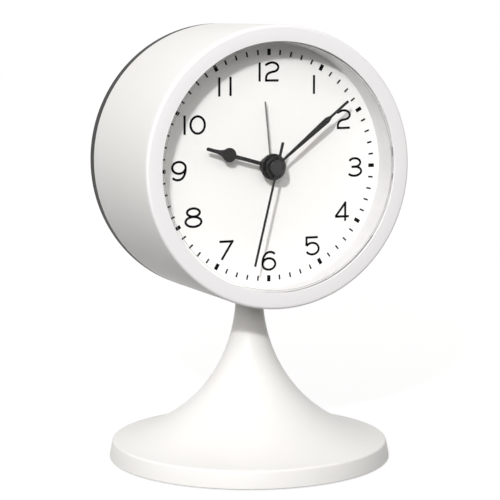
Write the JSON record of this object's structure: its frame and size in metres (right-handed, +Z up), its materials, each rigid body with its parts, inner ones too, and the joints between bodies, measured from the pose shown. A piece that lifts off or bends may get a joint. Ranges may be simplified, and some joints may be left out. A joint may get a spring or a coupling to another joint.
{
  "type": "table alarm clock",
  "caption": "Round drum table alarm clock on a trumpet pedestal: numbered dial with hands behind a clear lens, setting knobs, alarm switch and battery door at the back.",
  "frame": {"origin": "on the table under the middle of the round base", "axes": "+Z up, the dial faces -Y, +X to the right as the dial is seen"},
  "size_m": [0.1036, 0.1036, 0.1577],
  "materials": {
    "case_white": "satin moulded",
    "dial_white": "printed card white",
    "lens_clear": "clear polished",
    "hand_black": "satin black",
    "alarm_hand_grey": "satin grey",
    "cover_black": "fine grain",
    "base_plate_white": "moulded",
    "foot_rubber": "matte",
    "weight_iron": "raw",
    "screw_steel": "zinc plated",
    "movement_plastic": "moulded",
    "wheel_acetal": "natural",
    "magnet_iron": "plain",
    "coil_copper": "enamelled wire",
    "board_green": "solder mask",
    "chip_black": "moulded",
    "contact_nickel": "nickel plated",
    "cell_wrap": "sleeve",
    "lead_sleeve": "insulated"
  },
  "bodies": {
    "clock_case": {"stand_shell": "case_white", "case_drum": "case_white", "front_ring": "case_white", "inner_ring": "case_white", "dial": "dial_white", "lens": "lens_clear", "rear_cover": "cover_black", "base_plate": "base_plate_white", "foot_ring": "foot_rubber", "base_weight": "weight_iron", "base_screws": "screw_steel", "neck_bolt": "screw_steel", "neck_washer": "screw_steel", "neck_nut": "screw_steel", "carrier_screws": "screw_steel", "cover_screws": "screw_steel", "plate_screws": "screw_steel", "movement_screws": "screw_steel", "dial_carrier": "movement_plastic", "movement_plate": "movement_plastic", "middle_plate": "movement_plastic", "movement_case": "movement_plastic", "switch_body": "movement_plastic", "neck_saddle": "movement_plastic", "coil_bobbin": "movement_plastic", "buzzer": "movement_plastic", "motor_stator": "magnet_iron", "motor_coil": "coil_copper", "circuit_board": "board_green", "controller_chip": "chip_black", "contact_positive": "contact_nickel", "contact_negative": "contact_nickel", "alarm_contact": "contact_nickel", "quartz_crystal": "contact_nickel", "battery_cell": "cell_wrap", "battery_leads": "lead_sleeve", "buzzer_leads": "lead_sleeve", "switch_leads": "lead_sleeve"},
    "second_hand": {"second_hand": "hand_black", "second_wheel": "wheel_acetal"},
    "third_wheel": {"third_wheel": "wheel_acetal"},
    "centre_wheel": {"centre_wheel": "wheel_acetal"},
    "intermediate_wheel": {"intermediate_wheel": "wheel_acetal"},
    "rotor": {"rotor": "magnet_iron"},
    "minute_hand": {"minute_hand": "hand_black", "minute_arbor": "wheel_acetal"},
    "hour_hand": {"hour_hand": "hand_black", "hour_wheel": "wheel_acetal"},
    "minute_wheel": {"minute_wheel": "wheel_acetal"},
    "time_setting": {"time_set_stem": "wheel_acetal", "time_set_knob": "cover_black"},
    "alarm_hand": {"alarm_hand": "alarm_hand_grey", "alarm_wheel": "wheel_acetal"},
    "alarm_setting": {"alarm_set_stem": "wheel_acetal", "alarm_set_knob": "cover_black"},
    "alarm_switch": {"alarm_switch": "cover_black"},
    "battery_door": {"battery_door": "cover_black"}
  },
  "joints": [
    {"name": "second_hand_turn", "type": "hinge", "parent": "clock_case", "child": "second_hand", "pos_m": [0, 0, 0.1077], "axis": [0, 1, 0], "continuous": true},
    {"name": "third_wheel_turn", "type": "hinge", "parent": "clock_case", "child": "third_wheel", "pos_m": [0.00919, 0, 0.11541], "axis": [0, 1, 0], "continuous": true},
    {"name": "centre_wheel_turn", "type": "hinge", "parent": "clock_case", "child": "centre_wheel", "pos_m": [0, 0, 0.1077], "axis": [0, 1, 0], "continuous": true},
    {"name": "intermediate_wheel_turn", "type": "hinge", "parent": "clock_case", "child": "intermediate_wheel", "pos_m": [-0.01126, 0, 0.1142], "axis": [0, 1, 0], "continuous": true},
    {"name": "rotor_turn", "type": "hinge", "parent": "clock_case", "child": "rotor", "pos_m": [-0.01258, 0, 0.12168], "axis": [0, 1, 0], "continuous": true},
    {"name": "minute_hand_turn", "type": "hinge", "parent": "clock_case", "child": "minute_hand", "pos_m": [0, 0, 0.1077], "axis": [0, 1, 0], "continuous": true},
    {"name": "hour_hand_turn", "type": "hinge", "parent": "clock_case", "child": "hour_hand", "pos_m": [0, 0, 0.1077], "axis": [0, 1, 0], "continuous": true},
    {"name": "minute_wheel_turn", "type": "hinge", "parent": "clock_case", "child": "minute_wheel", "pos_m": [-0.00752, 0, 0.10496], "axis": [0, 1, 0], "continuous": true},
    {"name": "time_knob_turn", "type": "hinge", "parent": "clock_case", "child": "time_setting", "pos_m": [-0.01504, 0, 0.10223], "axis": [0, 1, 0], "continuous": true},
    {"name": "alarm_hand_turn", "type": "hinge", "parent": "clock_case", "child": "alarm_hand", "pos_m": [0, 0, 0.1077], "axis": [0, 1, 0], "continuous": true},
    {"name": "alarm_knob_turn", "type": "hinge", "parent": "clock_case", "child": "alarm_setting", "pos_m": [0.01504, 0, 0.10223], "axis": [0, 1, 0], "continuous": true},
    {"name": "alarm_switch_slide", "type": "slide", "parent": "clock_case", "child": "alarm_switch", "axis": [1, 0, 0], "range_m": [0, 0.004]},
    {"name": "battery_door_swing", "type": "hinge", "parent": "clock_case", "child": "battery_door", "pos_m": [0, 0.0309, 0.0761], "axis": [-1, 0, 0], "range_deg": [0, 100]}
  ],
  "couplings": [
    {"joint": "third_wheel_turn", "follows": "second_hand_turn", "ratio": -0.13333},
    {"joint": "centre_wheel_turn", "follows": "second_hand_turn", "ratio": 0.016667},
    {"joint": "intermediate_wheel_turn", "follows": "second_hand_turn", "ratio": -5},
    {"joint": "rotor_turn", "follows": "second_hand_turn", "ratio": 30},
    {"joint": "minute_wheel_turn", "follows": "minute_hand_turn", "ratio": -0.33333},
    {"joint": "hour_hand_turn", "follows": "minute_hand_turn", "ratio": 0.083333},
    {"joint": "time_knob_turn", "follows": "minute_hand_turn", "ratio": 1},
    {"joint": "alarm_knob_turn", "follows": "alarm_hand_turn", "ratio": -4}
  ]
}
